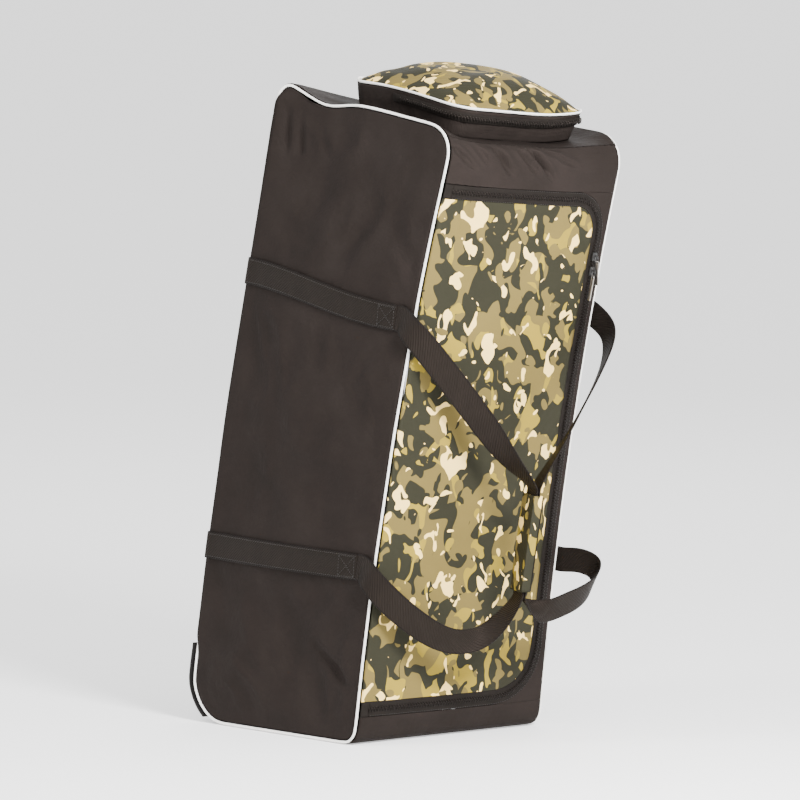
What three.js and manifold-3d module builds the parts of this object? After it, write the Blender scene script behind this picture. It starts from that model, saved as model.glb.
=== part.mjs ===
// Cricket kit bag: a soft, hollow cloth bag that stands on its end and leans.
// Millimetres, +Z up. The flap faces -Y, and the bag leans towards +X and -Y.
// Every piece is first laid out on an upright box, and bend() then gives it the bag's
// taper, lean, drooping top and folds, so that neighbouring pieces keep their clearance.
import * as THREE from 'three';
import { mergeVertices } from 'three/addons/utils/BufferGeometryUtils.js';
import Module from 'manifold-3d';

const wasm = await Module();
wasm.setup();

// Driving dimensions of the body
const bodyWidth = 346;
const topWidth = 318;
const bodyDepth = 362;
const topDepth = 394;
const bodyLength = 908;
const baseFrontRadius = 25;
const baseBackRadius = 64;
const topBackRadius = 30;
const topFrontRadius = 54;
const clothWall = 2;
const clearance = 0.3;
const pipingGap = 0.8;
const strapSeat = 1.2;
const pocketSeat = 1.2;

// The lean and droop of the standing bag
const leanRight = 97;
const leanForward = 77;
const steadyLeanShare = 0.6;
const topDropRight = 38;
const topDropFront = 17;

// How far the soft panels swell out, or sag in at the top
const frontCrown = 15;
const backCrown = 12;
const sideCrown = 15;
const topSag = 14;
const frontFlatness = { across: 2.6, along: 5 };
const topSagEdge = { across: 0.24, along: 0.26 };

// Piping, flap and main zip
const pipingRadius = 3;
const pipingSides = 5;
const flapLowEdge = 64;
const flapTopMargin = 111;
const flapSideMargin = 36;
const flapLowCorner = 62;
const flapHighCorner = 42;
const zipWidth = 22;
const zipTape = 1;
const coilWidth = 6;
const coilHeight = 1.4;
const zipEndLength = 13;
const zipEndRise = 0.6;

// Skid guard over the lower back corner
const guardHeight = 112;
const guardWall = 3;
const guardCornerSteps = 5;

// End pocket
const pocketWidth = 276;
const pocketDepth = 232;
const pocketSideShift = 4;
const pocketSetBack = 44;
const pocketWallHeight = 42;
const pocketCorner = 42;
const pocketFlare = 10;
const pocketDome = 46;
const domeFlatness = 2.6;
const domeFullness = 0.8;
const lidSteps = 9;
const pocketPipingRadius = 2.6;
const pocketZipWidth = 12;
const pocketZipDrop = 5;
const pocketZipReach = 20;

// Woven straps, handles and grip
const strapWidth = 38;
const strapWall = 2.4;
const gripLength = 144;
const gripWall = 3.2;
const gripStandoff = 100;
const gripHeight = 300;
const gripSideShift = 20;
const gripTurn = 0.35;
const strapParting = 2;
const gripFlat = { across: 2.2, out: 3.4 };
const handleEndSetBack = 34;
const handleEndLength = 12;

// Zip sliders and their pulls
const upperSliderHeight = 722;
const lowerSliderHeight = 700;
const sliderLength = 12;
const sliderWidth = 9;
const sliderWall = 3;
const pullRingRadius = 4;
const pullRingWire = 0.7;
const pullHoleRadius = 1.7;
const eyeRadius = 2.9;
const eyeWall = 2;
const pullTabLength = 34;
const pullTabWidth = 5;
const pullTabWall = 1.2;
const upperRingSwing = 0.42;
const upperTabSwing = 0.25;

const halfWidth = bodyWidth / 2;
const flapHighEdge = bodyLength - flapTopMargin;
const halfDepth = bodyDepth / 2;
const clothEdge = halfWidth - pipingRadius - pipingGap;
const sidePanelInset = 2 * pipingRadius + pipingGap;

// Folds, dents and bulges, each a soft ridge or hollow along a line from one point to another.
// x and y are shares of the half width and half depth, z of the length. Reach is a share of
// foldReach, and right, back and up are shares of foldDepth.
const foldReach = 100;
const foldDepth = 24;
const folds = [
  { name: 'dip in the top edge', from: [-1.1, 0.6, 1], to: [-0.96, 0.5, 1],
    reach: 0.45, right: 0, back: 0, up: -0.95 },
  { name: 'back left corner stands up', from: [-1.1, 0.9, 1], to: [-0.9, 1.1, 1],
    reach: 1.1, right: 0, back: 0, up: 0.9 },
  { name: 'base spreads at the back', from: [-1, 1, 0.05], to: [1, 1, 0.05],
    reach: 1, right: 0, back: 0.4, up: 0 },
  { name: 'top sinks at the front left', from: [-0.6, -0.8, 1], to: [0.2, -0.8, 1],
    reach: 0.8, right: 0, back: 0, up: -0.6 },
  { name: 'bowed back', from: [-1, 1, 0.3], to: [1, 1, 0.62],
    reach: 1.8, right: 0, back: 0.35, up: 0 },
  { name: 'hollow above the lower strap', from: [-1, -0.5, 0.38], to: [-1, 0.6, 0.37],
    reach: 0.7, right: 0.26, back: 0, up: 0 },
  { name: 'hollow under the lower strap', from: [-1, -0.5, 0.19], to: [-1, 0.1, 0.17],
    reach: 0.5, right: 0.3, back: 0, up: 0 },
  { name: 'slanting dent low at the front', from: [-1, -0.66, 0.06], to: [-1, -0.2, 0.13],
    reach: 0.34, right: 0.42, back: 0, up: 0 },
  { name: 'pull under the upper strap', from: [-1, -0.5, 0.6], to: [-1, 0.1, 0.62],
    reach: 0.6, right: 0.26, back: 0, up: 0 },
  { name: 'upright fold at the top back', from: [-1, 0.7, 0.98], to: [-1, 0.66, 0.89],
    reach: 0.24, right: 0.4, back: 0, up: 0 },
  { name: 'second upright fold', from: [-1, 0.3, 0.98], to: [-1, 0.42, 0.86],
    reach: 0.28, right: 0.42, back: 0, up: 0 },
  { name: 'slack above the upper strap', from: [-1, -0.5, 0.88], to: [-1, 0.3, 0.82],
    reach: 0.6, right: 0.24, back: 0, up: 0 },
  { name: 'left wrinkle above the zip', from: [-0.75, -1, 0.97], to: [-0.5, -1, 0.925],
    reach: 0.16, right: 0, back: 0.26, up: 0 },
  { name: 'middle wrinkle above the zip', from: [-0.25, -1, 0.965], to: [0.1, -1, 0.92],
    reach: 0.18, right: 0, back: 0.3, up: 0 },
  { name: 'right wrinkle above the zip', from: [0.35, -1, 0.97], to: [0.6, -1, 0.92],
    reach: 0.18, right: 0, back: 0.28, up: 0 },
];
const floorBlend = 60;

function range(count, from, to) {
  return Array.from({ length: count + 1 }, (unused, i) => from + (to - from) * i / count);
}

// Places on the upright box are moved to where the soft bag has them.
function bend(x, y, z) {
  const level = z / bodyLength;
  const lean = steadyLeanShare * level + (1 - steadyLeanShare) * level * level;
  const narrowing = 1 - (1 - topWidth / bodyWidth) * Math.min(level, 1);
  const droop = level * (topDropRight * (x / bodyWidth + 0.5) + topDropFront * (0.5 - y / bodyDepth));
  const deepening = 1 + (topDepth / bodyDepth - 1) * level * level;
  const place = new THREE.Vector3(x * narrowing + leanRight * lean,
    y * deepening - leanForward * lean, z - droop);
  const hold = Math.min(Math.max(z / floorBlend, 0), 1);
  const upright = new THREE.Vector3(x, y, z);
  const nearest = new THREE.Vector3();
  for (const fold of folds) {
    fold.line.closestPointToPoint(upright, true, nearest);
    const away = upright.distanceTo(nearest) / (fold.reach * foldReach);
    const share = hold * foldDepth * Math.exp(-away * away);
    place.x += fold.right * share;
    place.y += fold.back * share;
    place.z += fold.up * share;
  }
  return place;
}

function foldPoint([x, y, z]) {
  return new THREE.Vector3(x * halfWidth, y * halfDepth, z * bodyLength);
}

for (const fold of folds) {
  fold.line = new THREE.Line3(foldPoint(fold.from), foldPoint(fold.to));
}

// Outline of the bag seen from its side, in Y and Z, running from the base front corner
// along the base, up the back, forward over the top and down the front.
const outline = new THREE.CurvePath();
const outlineEdge = (fromY, fromZ, toY, toZ) =>
  outline.add(new THREE.LineCurve(new THREE.Vector2(fromY, fromZ), new THREE.Vector2(toY, toZ)));
const outlineCorner = (y, z, radius, quarter) => outline.add(new THREE.EllipseCurve(y, z, radius,
  radius, quarter * Math.PI / 2, (quarter + 1) * Math.PI / 2, false, 0));
outlineEdge(-halfDepth + baseFrontRadius, 0, halfDepth - baseBackRadius, 0);
outlineCorner(halfDepth - baseBackRadius, baseBackRadius, baseBackRadius, -1);
outlineEdge(halfDepth, baseBackRadius, halfDepth, bodyLength - topBackRadius);
outlineCorner(halfDepth - topBackRadius, bodyLength - topBackRadius, topBackRadius, 0);
outlineEdge(halfDepth - topBackRadius, bodyLength, -halfDepth + topFrontRadius, bodyLength);
outlineCorner(-halfDepth + topFrontRadius, bodyLength - topFrontRadius, topFrontRadius, 1);
outlineEdge(-halfDepth, bodyLength - topFrontRadius, -halfDepth, baseFrontRadius);
outlineCorner(-halfDepth + baseFrontRadius, baseFrontRadius, baseFrontRadius, 2);

// The outline is walked in steps, counted for each of its stretches in turn. Both the front
// and the back edge take the same number of steps, so that they pair up across a side panel.
const [baseEnd, backCornerEnd, backEnd, topBackEnd, topEnd, topFrontEnd, frontEnd, outlineLength] =
  outline.getCurveLengths();
const edgeSteps = 8;
const backSteps = { lowCorner: 8, upright: 14, highCorner: 4 };
const frontSteps = { highCorner: 6, upright: 16, lowCorner: 4 };
const stretchSteps = [
  { from: 0, to: baseEnd, steps: edgeSteps },
  { from: baseEnd, to: backCornerEnd, steps: backSteps.lowCorner },
  { from: backCornerEnd, to: backEnd, steps: backSteps.upright },
  { from: backEnd, to: topBackEnd, steps: backSteps.highCorner },
  { from: topBackEnd, to: topEnd, steps: edgeSteps },
  { from: topEnd, to: topFrontEnd, steps: frontSteps.highCorner },
  { from: topFrontEnd, to: frontEnd, steps: frontSteps.upright },
  { from: frontEnd, to: outlineLength, steps: frontSteps.lowCorner },
];
const stopLengths = stretchSteps.flatMap(({ from, to, steps }) => range(steps, from, to).slice(0, -1));
const stopCount = stopLengths.length;
const panelRows = (stopCount - 2 * edgeSteps) / 2;

// Seams between the panels of the skin, each half way round a corner or a quarter of it
const backSeam = edgeSteps + backSteps.lowCorner / 4;
const topSeam = edgeSteps + panelRows - backSteps.highCorner / 2;
const frontSeam = 2 * edgeSteps + panelRows + frontSteps.highCorner / 2;
const baseSeam = stopCount - frontSteps.lowCorner / 2;
const baseStart = baseSeam - stopCount;

function stopLength(stop) {
  const turns = Math.floor(stop / stopCount);
  return stopLengths[stop - turns * stopCount] + turns * outlineLength;
}

// Lengths of the stops from one seam to another, a little short of each seam
function stopsBetween(from, to) {
  const lengths = [];
  for (let stop = from; stop <= to; stop += 1) lengths.push(stopLength(stop));
  lengths[0] += clearance;
  lengths[lengths.length - 1] -= clearance;
  return lengths;
}

function outlineAt(length) {
  const share = ((length / outlineLength) % 1 + 1) % 1;
  const point = outline.getPoint(share);
  const step = 0.2 / outlineLength;
  const ahead = outline.getPoint((share + step) % 1);
  const behind = outline.getPoint((share - step + 1) % 1);
  const along = ahead.sub(behind).normalize();
  return { y: point.x, z: point.y, outY: along.y, outZ: -along.x };
}

// Swell of each soft panel over the upright box, nothing at its edges
function hump(share) {
  return Math.max(0, 1 - share * share);
}

function frontSwell(x, z) {
  const across = 1 - Math.abs(x / halfWidth) ** frontFlatness.across;
  const along = 1 - Math.abs(2 * z / bodyLength - 1) ** frontFlatness.along;
  return frontCrown * Math.max(across, 0) * Math.max(along, 0);
}

function backSwell(x, z) {
  const share = (z - baseBackRadius) / (bodyLength - baseBackRadius);
  return backCrown * hump(x / halfWidth) * hump(2 * share - 1);
}

function sideSwell(y, z) {
  return sideCrown * hump(y / halfDepth) * hump(2 * z / bodyLength - 1);
}

function topSwell(x, y) {
  const across = Math.min(1, (1 - Math.abs(x / halfWidth)) / topSagEdge.across);
  const along = Math.min(1, (1 - Math.abs(y / halfDepth)) / topSagEdge.along);
  const ease = Math.max(across, 0) * Math.max(along, 0);
  return -topSag * ease * ease * (3 - 2 * ease);
}

// Point on the skin that joins the two side panels. Length runs along the outline,
// and out is the height above the skin's outer face.
function skin(length, x, out) {
  const at = outlineAt(length);
  let swell = 0;
  if (at.outY < -0.01 && at.z > baseFrontRadius) swell += frontSwell(x, at.z) * -at.outY;
  if (at.outY > 0.01 && at.z > baseBackRadius) swell += backSwell(x, at.z) * at.outY;
  if (at.outZ > 0.01) swell += topSwell(x, at.y) * at.outZ;
  const lift = out + swell;
  return bend(x, at.y + at.outY * lift, at.z + at.outZ * lift);
}

// Point on the upright front, where the flap and its zip lie
function front(x, z, out) {
  return bend(x, -halfDepth - frontSwell(x, z) - out, z);
}

// Joins closed sections of equal point count into one solid. An open row of sections gets
// end faces between the first and the second half of each end section.
function loft(sections, closed) {
  const count = sections[0].length;
  const index = [];
  const at = (i, j) => (i % sections.length) * count + (j % count);
  const last = closed ? sections.length : sections.length - 1;
  for (let i = 0; i < last; i += 1) {
    for (let j = 0; j < count; j += 1) {
      index.push(at(i, j), at(i + 1, j), at(i + 1, j + 1));
      index.push(at(i, j), at(i + 1, j + 1), at(i, j + 1));
    }
  }
  for (let j = 0; !closed && j < count / 2 - 1; j += 1) {
    const end = sections.length - 1;
    index.push(at(0, j), at(0, j + 1), at(0, count - 2 - j));
    index.push(at(0, j), at(0, count - 2 - j), at(0, count - 1 - j));
    index.push(at(end, j), at(end, count - 2 - j), at(end, j + 1));
    index.push(at(end, j), at(end, count - 1 - j), at(end, count - 2 - j));
  }
  const geometry = new THREE.BufferGeometry();
  geometry.setFromPoints(sections.flat());
  geometry.setIndex(signedVolume(sections.flat(), index) < 0 ? index.reverse() : index);
  return mergeVertices(geometry, 1e-4);
}

function signedVolume(points, index) {
  const normal = new THREE.Vector3();
  let volume = 0;
  for (let i = 0; i < index.length; i += 3) {
    const [a, b, c] = [points[index[i]], points[index[i + 1]], points[index[i + 2]]];
    volume += a.dot(normal.crossVectors(b, c));
  }
  return volume;
}

// A wall whose rows are lines of outer points, with the same lines set in by the wall
function wall(rows, placeAt) {
  return loft(rows.map((row) => [
    ...row.map((spot) => placeAt(spot, 'outer')),
    ...row.map((spot) => placeAt(spot, 'inner')).reverse(),
  ]), false);
}

function sidePanel(side) {
  const edgePoint = (stop) => {
    const at = outlineAt(stopLength(stop));
    return { y: at.y - at.outY * sidePanelInset, z: at.z - at.outZ * sidePanelInset };
  };
  const rows = range(panelRows, 0, panelRows).map((row) => {
    const near = edgePoint(stopCount - row);
    const far = edgePoint(edgeSteps + row);
    return range(edgeSteps, 0, 1).map((share) => ({
      y: near.y + (far.y - near.y) * share, z: near.z + (far.z - near.z) * share,
    }));
  });
  return wall(rows, ({ y, z }, face) => {
    const out = halfWidth + sideSwell(y, z) - (face === 'inner' ? clothWall : 0);
    return bend(side * out, y, z);
  });
}

// Steps across the width for each panel of the skin
const columns = { base: 6, back: 6, top: 10, guard: 6, frontTop: 12, frontBase: 8, flap: 8, strip: 2 };

// A piece of the skin with rows at the given lengths of the outline
function skinPanel(lengths, columnCount, outer, thickness) {
  const rows = lengths.map((length) =>
    range(columnCount, -clothEdge, clothEdge).map((x) => ({ length, x })));
  return wall(rows, ({ length, x }, face) =>
    skin(length, x, face === 'inner' ? outer - thickness : outer));
}

function piping(side) {
  return loft(stopLengths.map((length) => {
    const at = outlineAt(length);
    return range(pipingSides, 0, 2 * Math.PI).slice(0, -1).map((turn) => {
      const out = -pipingRadius + pipingRadius * Math.cos(turn);
      const x = side * (halfWidth + pipingRadius * Math.sin(turn));
      return bend(x, at.y + at.outY * out, at.z + at.outZ * out);
    });
  }), true);
}

// The flap's outline has two round corners at its right. A turn of 90 degrees is the start
// of the high corner, -90 the end of the low one. Between them lies the upright edge.
const flapRightEdge = halfWidth - flapSideMargin;
const highCentre = { x: flapRightEdge - flapHighCorner, z: flapHighEdge - flapHighCorner };
const lowCentre = { x: flapRightEdge - flapLowCorner, z: flapLowEdge + flapLowCorner };
const cornerSteps = 6;
const uprightSteps = 11;

// Stops down the right edge, on the line that lies outside the flap by offset
function rightEdge(offset) {
  const arc = (centre, radius, from, to) => range(cornerSteps, from, to).map((turn) => {
    const [outX, outZ] = [Math.cos(turn), Math.sin(turn)];
    return { x: centre.x + (radius + offset) * outX, z: centre.z + (radius + offset) * outZ,
      outX, outZ };
  });
  const upright = range(uprightSteps, highCentre.z, lowCentre.z).slice(1, -1)
    .map((z) => ({ x: flapRightEdge + offset, z, outX: 1, outZ: 0 }));
  return [
    ...arc(highCentre, flapHighCorner, Math.PI / 2, 0), ...upright,
    ...arc(lowCentre, flapLowCorner, 0, -Math.PI / 2),
  ];
}

function frontPanel(edge, columnCount, leftAt, rightAt) {
  const rows = edge.map((at) =>
    range(columnCount, leftAt(at), rightAt(at)).map((x) => ({ x, z: at.z })));
  return wall(rows, ({ x, z }, face) => front(x, z, face === 'inner' ? -clothWall : 0));
}

const zipInner = clearance;
const zipOuter = zipInner + zipWidth;
const bandEdge = zipOuter + clearance;

// Middle line of the main zip as points with their outward directions, in X and Z
function zipLine(startX) {
  const offset = (zipInner + zipOuter) / 2;
  const high = range(10, startX, highCentre.x).slice(0, -1)
    .map((x) => ({ x, z: flapHighEdge + offset, outX: 0, outZ: 1 }));
  const low = range(9, lowCentre.x, startX).slice(1)
    .map((x) => ({ x, z: flapLowEdge - offset, outX: 0, outZ: -1 }));
  return [...high, ...rightEdge(offset), ...low];
}

const zipStartX = -clothEdge + zipEndLength + clearance;

function mainZip() {
  const half = zipWidth / 2;
  const section = [
    [-half, 0], [-coilWidth / 2, 0], [0, coilHeight], [coilWidth / 2, 0], [half, 0],
    [half, -zipTape], [coilWidth / 2, -zipTape], [0, -zipTape], [-coilWidth / 2, -zipTape],
    [-half, -zipTape],
  ];
  return loft(zipLine(zipStartX).map((at) => section.map(([across, out]) =>
    front(at.x + at.outX * across, at.z + at.outZ * across, out))), false);
}

function zipEnd(z) {
  const rows = range(2, z - zipWidth / 2, z + zipWidth / 2).map((height) =>
    range(2, -clothEdge, -clothEdge + zipEndLength).map((x) => ({ x, height })));
  return wall(rows, ({ x, height }, face) => front(x, height, face === 'inner' ? -zipTape : zipEndRise));
}

// The black cloth over the zip, up to the seam on the rounded top edge
function frontTopPanel() {
  const low = topFrontEnd + (bodyLength - topFrontRadius) - (flapHighEdge + bandEdge + clearance);
  const round = stopsBetween(frontSeam, 2 * edgeSteps + panelRows + frontSteps.highCorner);
  return skinPanel([...round.slice(0, -1), ...range(4, topFrontEnd, low)], columns.frontTop, 0,
    clothWall);
}

// The black cloth under the zip, from the zip down to the seam near the floor
function frontBaseBand() {
  const high = frontEnd - (flapLowEdge - bandEdge - clearance - baseFrontRadius);
  const round = [stopLength(baseSeam - 1), stopLength(baseSeam) - clearance];
  return skinPanel([...range(2, high, frontEnd), ...round], columns.frontBase, 0, clothWall);
}

// A strap is a row of stations: a middle point, its width direction and its outward face
function strap(stations) {
  return loft(stations.map(({ middle, across, out }) => {
    const corner = (side, depth) => middle.clone()
      .addScaledVector(across, side * strapWidth / 2)
      .addScaledVector(out, depth);
    const spots = [corner(-1, strapWall), corner(0, strapWall), corner(1, strapWall),
      corner(1, 0), corner(0, 0), corner(-1, 0)];
    return spots.map((spot) => bend(spot.x, spot.y, spot.z));
  }), false);
}

// The bands run from the left side round the back to the right side, over both pipings.
// Heights are shares of the body length at the left front, the back and the right front.
const bandHeights = {
  upper: { leftFront: 0.681, back: 0.716, rightFront: 0.704 },
  lower: { leftFront: 0.283, back: 0.281, rightFront: 0.285 },
};

function strapLift(fromPiping) {
  const near = pipingRadius * 4;
  return strapSeat + pipingRadius * Math.exp(-((fromPiping / near) ** 2));
}

// Where the bands have stations, as shares of the side panel's depth from its front, and
// as shares of the half width across the back
const bandSideStops = [0, 0.14, 0.28, 0.42, 0.56, 0.7, 0.82, 0.91, 0.96, 0.985];
const bandBackStops = [-0.97, -0.9, -0.7, -0.35, 0, 0.35, 0.7, 0.9, 0.97];
const bandCornerSteps = 6;

function strapBand({ leftFront, back, rightFront }) {
  const startY = -halfDepth + handleEndSetBack;
  const stations = [];
  const up = new THREE.Vector3(0, 0, 1);
  const sideZ = (y, end) => {
    const share = (y - startY) / (halfDepth - startY);
    const ease = share * share * (3 - 2 * share);
    return bodyLength * (end + (back - end) * ease);
  };
  const cornerTurns = range(bandCornerSteps, 0, Math.PI / 2);
  const cornerRadius = pipingRadius + strapSeat;
  const alongSide = (side, end, share) => {
    const y = startY + (halfDepth - pipingRadius - startY) * share;
    const z = sideZ(y, end);
    const out = halfWidth + sideSwell(y, z) + strapLift(halfDepth - pipingRadius - y);
    stations.push({ middle: new THREE.Vector3(side * out, y, z), across: up,
      out: new THREE.Vector3(side, 0, 0) });
  };
  const corner = (side, turn) => {
    const out = new THREE.Vector3(side * Math.cos(turn), Math.sin(turn), 0);
    const middle = new THREE.Vector3(side * halfWidth, halfDepth - pipingRadius, back * bodyLength)
      .addScaledVector(out, cornerRadius);
    stations.push({ middle, across: up, out });
  };
  for (const share of bandSideStops) alongSide(-1, leftFront, share);
  for (const turn of cornerTurns) corner(-1, turn);
  for (const share of bandBackStops) {
    const x = share * halfWidth;
    const y = halfDepth + backSwell(x, back * bodyLength) + strapSeat;
    stations.push({ middle: new THREE.Vector3(x, y, back * bodyLength), across: up,
      out: new THREE.Vector3(0, 1, 0) });
  }
  for (const turn of [...cornerTurns].reverse()) corner(1, turn);
  for (const share of [...bandSideStops].reverse()) alongSide(1, rightFront, share);
  return strap(stations);
}

// The grip's own frame: the straps' width points mostly away from the flap
const gripAcross = new THREE.Vector3(-Math.sin(gripTurn), -Math.cos(gripTurn), 0);
const gripOut = new THREE.Vector3(-Math.cos(gripTurn), Math.sin(gripTurn), 0);
const gripMiddle = new THREE.Vector3(gripSideShift, -halfDepth - gripStandoff, gripHeight);

// Free runs of the handles between the side panels and the grip. Side is a share of the half
// width, standoff a share of the grip's standoff from the front, height a share of the body
// length. Facing is the turn of the strap's outer face: 0 is left, 90 forward and 180 right.
const handleRuns = {
  leftUpper: [
    { side: -1.05, standoff: -0.02, height: 0.669, facing: 16 },
    { side: -0.97, standoff: 0.2, height: 0.645, facing: 48 },
    { side: -0.68, standoff: 0.44, height: 0.586, facing: 54 },
    { side: -0.38, standoff: 0.68, height: 0.522, facing: 38 },
    { side: -0.1, standoff: 0.9, height: 0.459, facing: -2 },
  ],
  leftLower: [
    { side: -1.05, standoff: -0.02, height: 0.271, facing: 16 },
    { side: -0.96, standoff: 0.22, height: 0.241, facing: 48 },
    { side: -0.68, standoff: 0.45, height: 0.196, facing: 56 },
    { side: -0.4, standoff: 0.64, height: 0.168, facing: 54 },
    { side: -0.12, standoff: 0.83, height: 0.175, facing: 14 },
  ],
  rightUpper: [
    { side: 1.06, standoff: 0, height: 0.692, facing: 174 },
    { side: 1.09, standoff: 0.26, height: 0.668, facing: 168 },
    { side: 0.93, standoff: 0.52, height: 0.617, facing: 152 },
    { side: 0.62, standoff: 0.78, height: 0.547, facing: 150 },
    { side: 0.33, standoff: 0.96, height: 0.481, facing: 158 },
  ],
  rightLower: [
    { side: 1.05, standoff: 0.02, height: 0.282, facing: 178 },
    { side: 1.1, standoff: 0.3, height: 0.284, facing: 178 },
    { side: 1.14, standoff: 0.62, height: 0.272, facing: 172 },
    { side: 0.94, standoff: 0.86, height: 0.24, facing: 146 },
    { side: 0.62, standoff: 0.98, height: 0.222, facing: 130 },
    { side: 0.33, standoff: 1.03, height: 0.213, facing: 152 },
  ],
};
const gripStraight = 12;
const runSteps = 2;

// Points on the side panel where a handle takes over from its band
function handleRoot(side, height) {
  const facing = side < 0 ? 0 : 180;
  return [handleEndSetBack - clearance, handleEndSetBack - handleEndLength].map((back) => {
    const y = -halfDepth + back;
    const z = height * bodyLength;
    const out = halfWidth + sideSwell(y, z) + strapLift(back - pipingRadius);
    return { place: new THREE.Vector3(side * out, y, z), facing };
  });
}

function handleRun(rows) {
  return rows.map((row) => ({
    place: new THREE.Vector3(row.side * halfWidth, -halfDepth - row.standoff * gripStandoff,
      row.height * bodyLength),
    facing: row.facing,
  }));
}

function handle(side, upperHeight, upperRun, lowerHeight, lowerRun) {
  const outward = gripOut.clone().multiplyScalar(-side);
  const gripFacing = THREE.MathUtils.radToDeg(side < 0 ? -gripTurn : Math.PI - gripTurn);
  const half = gripLength / 2;
  const gripStops = [half + gripStraight, half, 0, -half, -half - gripStraight];
  const held = gripStops.map((rise) => {
    const place = gripMiddle.clone().addScaledVector(outward, strapParting / 2);
    return { place: place.add(new THREE.Vector3(0, 0, rise)), facing: gripFacing };
  });
  const route = [
    ...handleRoot(side, upperHeight), ...handleRun(upperRun), ...held,
    ...handleRun(lowerRun).reverse(), ...handleRoot(side, lowerHeight).reverse(),
  ];
  const line = new THREE.CatmullRomCurve3(route.map((stop) => stop.place));
  const facings = new THREE.CatmullRomCurve3(
    route.map((stop) => new THREE.Vector3(stop.facing, 0, 0)), false, 'catmullrom', 0);
  return strap(range(runSteps * (route.length - 1), 0, 1).map((share) => {
    const along = line.getTangent(share);
    const facing = THREE.MathUtils.degToRad(facings.getPoint(share).x);
    const out = new THREE.Vector3(-Math.cos(facing), -Math.sin(facing), 0);
    out.addScaledVector(along, -out.dot(along)).normalize();
    return { middle: line.getPoint(share), across: along.clone().cross(out), out };
  }));
}

// The grip is a flat sleeve with round edges, open at both ends
function gripWrap() {
  const levels = range(3, -gripLength / 2, gripLength / 2);
  const innerHalf = strapWidth / 2 + clearance;
  const innerRound = strapWall + strapParting / 2 + clearance;
  const ring = (extra, share) => {
    const turn = share * 2 * Math.PI;
    const across = Math.cos(turn);
    const out = Math.sin(turn);
    const straight = Math.sign(across) * Math.min(1, Math.abs(across) * gripFlat.across) * innerHalf;
    return [straight + across * extra, Math.sign(out) * Math.min(1, Math.abs(out) * gripFlat.out)
      * (innerRound + extra)];
  };
  const spot = (extra, share, rise) => {
    const [across, out] = ring(extra, share);
    const at = gripMiddle.clone().addScaledVector(gripAcross, across)
      .addScaledVector(gripOut, out).add(new THREE.Vector3(0, 0, rise));
    return bend(at.x, at.y, at.z);
  };
  return loft(range(16, 0, 1).slice(0, -1).map((share) => [
    ...levels.map((rise) => spot(gripWall, share, rise)),
    ...levels.map((rise) => spot(0, share, rise)).reverse(),
  ]), true);
}

// Round-cornered loop of the pocket, as points with outward directions
function pocketLoop(cornerSteps) {
  const [farX, farY] = [pocketWidth / 2 - pocketCorner, pocketDepth / 2 - pocketCorner];
  const corners = [[farX, farY, 0], [-farX, farY, 1], [-farX, -farY, 2], [farX, -farY, 3]];
  return corners.flatMap(([x, y, quarter]) => range(cornerSteps, 0, 1).map((share) => {
    const turn = (quarter + share) * Math.PI / 2;
    const [outX, outY] = [Math.cos(turn), Math.sin(turn)];
    return { x: x + pocketCorner * outX, y: y + pocketCorner * outY, outX, outY };
  }));
}

function splitLoop(loop, steps) {
  return loop.flatMap((at, i) => {
    const next = loop[(i + 1) % loop.length];
    const gap = Math.hypot(next.x - at.x, next.y - at.y);
    const parts = gap > pocketCorner ? steps : 1;
    return range(parts, 0, 1).slice(0, -1).map((share) => ({
      x: at.x + (next.x - at.x) * share, y: at.y + (next.y - at.y) * share,
      outX: at.outX, outY: at.outY,
    }));
  });
}

const pocketMiddleY = -halfDepth + pocketSetBack + pocketDepth / 2;
const pocketBase = bodyLength - topSag + pocketSeat;
const pocketRim = pocketBase + pocketWallHeight;
const pocketPath = splitLoop(pocketLoop(4), 5);

function pocketSpot(at, out, z) {
  const lean = pocketFlare * (1 - (z - pocketBase) / pocketWallHeight);
  const reach = out - lean;
  return bend(pocketSideShift + at.x + at.outX * reach,
    pocketMiddleY + at.y + at.outY * reach, z);
}

function pocketWall() {
  const top = pocketRim - pocketPipingRadius - clearance;
  const levels = range(2, pocketBase, top);
  return loft(pocketPath.map((at) => [
    ...levels.map((z) => pocketSpot(at, 0, z)),
    ...levels.map((z) => pocketSpot(at, -clothWall, z)).reverse(),
  ]), true);
}

function pocketPiping() {
  return loft(pocketPath.map((at) => range(pipingSides, 0, 2 * Math.PI).slice(0, -1).map((turn) => {
    const out = -clothWall / 2 + pocketPipingRadius * Math.cos(turn);
    return pocketSpot(at, out, pocketRim + pocketPipingRadius * Math.sin(turn));
  })), true);
}

// The pocket's zip runs along the left wall, round the front corners and up the right wall
function pocketZip() {
  const stretch = pocketPath.filter((at) => at.y < pocketZipReach);
  const high = pocketRim - pocketPipingRadius - pocketZipDrop;
  const middle = high - pocketZipWidth / 2;
  const low = high - pocketZipWidth;
  return loft(stretch.map((at) => [
    pocketSpot(at, clearance + zipTape, low),
    pocketSpot(at, clearance + zipTape + coilHeight, middle),
    pocketSpot(at, clearance + zipTape, high),
    pocketSpot(at, clearance, high),
    pocketSpot(at, clearance, middle),
    pocketSpot(at, clearance, low),
  ]), false);
}

// Steps that lie closer together near both ends, where a corner or a dome turns
function closingSteps(count, low, high) {
  return range(count, 0, Math.PI).map((turn) => low + (high - low) * (1 - Math.cos(turn)) / 2);
}

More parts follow.
